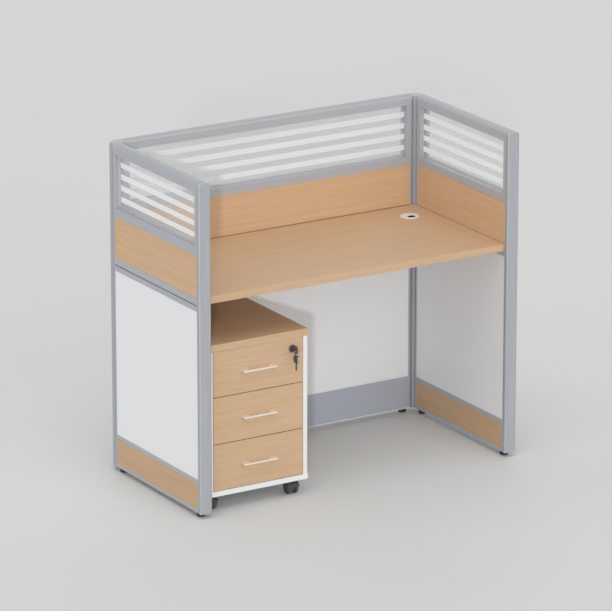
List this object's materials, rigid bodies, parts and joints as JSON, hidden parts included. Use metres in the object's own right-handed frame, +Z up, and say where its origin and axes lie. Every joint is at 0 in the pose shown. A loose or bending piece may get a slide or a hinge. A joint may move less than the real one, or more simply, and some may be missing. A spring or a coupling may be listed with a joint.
{
  "type": "office desk",
  "caption": "Screened workstation desk: worktop between framed panel and striped-glass screens, cable grommet, levelling feet, and a mobile drawer pedestal with lock and casters.",
  "frame": {"origin": "on the floor, at the bottom centre of the whole desk", "axes": "+X to the sitter's right, +Y from the open front to the back screen, +Z up"},
  "size_m": [1.23, 0.62, 1.136],
  "materials": {
    "anodised_aluminium": "satin anodised",
    "striped_glass": "clear with etched bands",
    "beech_laminate": "satin beech-effect laminate",
    "white_laminate": "matt white laminate",
    "grey_painted_steel": "matt grey powder coat",
    "black_plastic": "matt moulded",
    "ivory_plastic": "matt moulded",
    "satin_handle_metal": "satin",
    "zinc_steel": "zinc plated",
    "lock_metal": "bright plated",
    "drawer_board": "white foiled board"
  },
  "bodies": {
    "screens": {"left_frame": "anodised_aluminium", "left_glass": "striped_glass", "left_upper_panel": "beech_laminate", "left_centre_panel": "white_laminate", "back_frame": "anodised_aluminium", "back_glass": "striped_glass", "back_upper_panel": "beech_laminate", "back_centre_panel": "white_laminate", "right_frame": "anodised_aluminium", "right_glass": "striped_glass", "right_upper_panel": "beech_laminate", "right_centre_panel": "white_laminate", "left_kick_panel": "beech_laminate", "left_end_trim": "anodised_aluminium", "left_corner_post": "anodised_aluminium", "right_kick_panel": "beech_laminate", "right_end_trim": "anodised_aluminium", "right_corner_post": "anodised_aluminium", "back_kick_plate": "grey_painted_steel", "worktop": "beech_laminate", "worktop_brackets": "grey_painted_steel", "bracket_screws": "zinc_steel", "grommet_ring": "ivory_plastic"},
    "foot_left_front": {"foot_left_front": "black_plastic"},
    "foot_left_back": {"foot_left_back": "black_plastic"},
    "foot_back_left": {"foot_back_left": "black_plastic"},
    "foot_back_right": {"foot_back_right": "black_plastic"},
    "foot_right_front": {"foot_right_front": "black_plastic"},
    "foot_right_back": {"foot_right_back": "black_plastic"},
    "grommet_cap": {"grommet_cap": "ivory_plastic"},
    "pedestal": {"pedestal_top": "beech_laminate", "pedestal_base": "white_laminate", "pedestal_left_side": "white_laminate", "pedestal_right_side": "white_laminate", "pedestal_back": "white_laminate", "pedestal_runners": "zinc_steel"},
    "drawer_top": {"drawer_top_front": "beech_laminate", "drawer_top_box": "drawer_board", "drawer_top_handle": "satin_handle_metal", "drawer_top_slides": "zinc_steel", "lock_barrel": "lock_metal"},
    "drawer_middle": {"drawer_middle_front": "beech_laminate", "drawer_middle_box": "drawer_board", "drawer_middle_handle": "satin_handle_metal", "drawer_middle_slides": "zinc_steel"},
    "drawer_bottom": {"drawer_bottom_front": "beech_laminate", "drawer_bottom_box": "drawer_board", "drawer_bottom_handle": "satin_handle_metal", "drawer_bottom_slides": "zinc_steel"},
    "key": {"lock_plug": "lock_metal", "lock_key": "black_plastic"},
    "spare_key": {"spare_key": "black_plastic"},
    "caster_front_left_fork": {"caster_front_left_fork": "black_plastic"},
    "caster_front_left_wheels": {"caster_front_left_wheels": "black_plastic"},
    "caster_front_right_fork": {"caster_front_right_fork": "black_plastic"},
    "caster_front_right_wheels": {"caster_front_right_wheels": "black_plastic"},
    "caster_back_left_fork": {"caster_back_left_fork": "black_plastic"},
    "caster_back_left_wheels": {"caster_back_left_wheels": "black_plastic"},
    "caster_back_right_fork": {"caster_back_right_fork": "black_plastic"},
    "caster_back_right_wheels": {"caster_back_right_wheels": "black_plastic"}
  },
  "joints": [
    {"name": "foot_left_front_turn", "type": "hinge", "parent": "screens", "child": "foot_left_front", "pos_m": [-0.593, -0.272, 0.01], "axis": [0, 0, 1], "continuous": true},
    {"name": "foot_left_back_turn", "type": "hinge", "parent": "screens", "child": "foot_left_back", "pos_m": [-0.593, 0.239, 0.01], "axis": [0, 0, 1], "continuous": true},
    {"name": "foot_back_left_turn", "type": "hinge", "parent": "screens", "child": "foot_back_left", "pos_m": [-0.542, 0.29, 0.01], "axis": [0, 0, 1], "continuous": true},
    {"name": "foot_back_right_turn", "type": "hinge", "parent": "screens", "child": "foot_back_right", "pos_m": [0.542, 0.29, 0.01], "axis": [0, 0, 1], "continuous": true},
    {"name": "foot_right_front_turn", "type": "hinge", "parent": "screens", "child": "foot_right_front", "pos_m": [0.593, -0.272, 0.01], "axis": [0, 0, 1], "continuous": true},
    {"name": "foot_right_back_turn", "type": "hinge", "parent": "screens", "child": "foot_right_back", "pos_m": [0.593, 0.239, 0.01], "axis": [0, 0, 1], "continuous": true},
    {"name": "grommet_cap_turn", "type": "hinge", "parent": "screens", "child": "grommet_cap", "pos_m": [0.48, 0.154, 0.75], "axis": [0, 0, 1], "continuous": true},
    {"name": "pedestal_roll", "type": "slide", "parent": "screens", "child": "pedestal", "axis": [0, -1, 0], "range_m": [0, 0.6]},
    {"name": "drawer_top_slide", "type": "slide", "parent": "pedestal", "child": "drawer_top", "axis": [0, -1, 0], "range_m": [0, 0.35]},
    {"name": "drawer_middle_slide", "type": "slide", "parent": "pedestal", "child": "drawer_middle", "axis": [0, -1, 0], "range_m": [0, 0.35]},
    {"name": "drawer_bottom_slide", "type": "slide", "parent": "pedestal", "child": "drawer_bottom", "axis": [0, -1, 0], "range_m": [0, 0.35]},
    {"name": "key_turn", "type": "hinge", "parent": "drawer_top", "child": "key", "pos_m": [-0.243, -0.273, 0.515], "axis": [0, 1, 0], "range_deg": [0, 90]},
    {"name": "spare_key_swing", "type": "hinge", "parent": "key", "child": "spare_key", "pos_m": [-0.243, -0.296, 0.5143], "axis": [1, 0, 0], "range_deg": [-75, 8]},
    {"name": "caster_front_left_swivel", "type": "hinge", "parent": "pedestal", "child": "caster_front_left_fork", "pos_m": [-0.518, -0.222, 0.053], "axis": [0, 0, 1], "continuous": true},
    {"name": "caster_front_left_spin", "type": "hinge", "parent": "caster_front_left_fork", "child": "caster_front_left_wheels", "pos_m": [-0.53, -0.222, 0.02], "axis": [0, -1, 0], "continuous": true},
    {"name": "caster_front_right_swivel", "type": "hinge", "parent": "pedestal", "child": "caster_front_right_fork", "pos_m": [-0.227, -0.222, 0.053], "axis": [0, 0, 1], "continuous": true},
    {"name": "caster_front_right_spin", "type": "hinge", "parent": "caster_front_right_fork", "child": "caster_front_right_wheels", "pos_m": [-0.227, -0.234, 0.02], "axis": [1, 0, 0], "continuous": true},
    {"name": "caster_back_left_swivel", "type": "hinge", "parent": "pedestal", "child": "caster_back_left_fork", "pos_m": [-0.518, 0.182, 0.053], "axis": [0, 0, 1], "continuous": true},
    {"name": "caster_back_left_spin", "type": "hinge", "parent": "caster_back_left_fork", "child": "caster_back_left_wheels", "pos_m": [-0.518, 0.17, 0.02], "axis": [1, 0, 0], "continuous": true},
    {"name": "caster_back_right_swivel", "type": "hinge", "parent": "pedestal", "child": "caster_back_right_fork", "pos_m": [-0.227, 0.182, 0.053], "axis": [0, 0, 1], "continuous": true},
    {"name": "caster_back_right_spin", "type": "hinge", "parent": "caster_back_right_fork", "child": "caster_back_right_wheels", "pos_m": [-0.227, 0.17, 0.02], "axis": [1, 0, 0], "continuous": true}
  ]
}
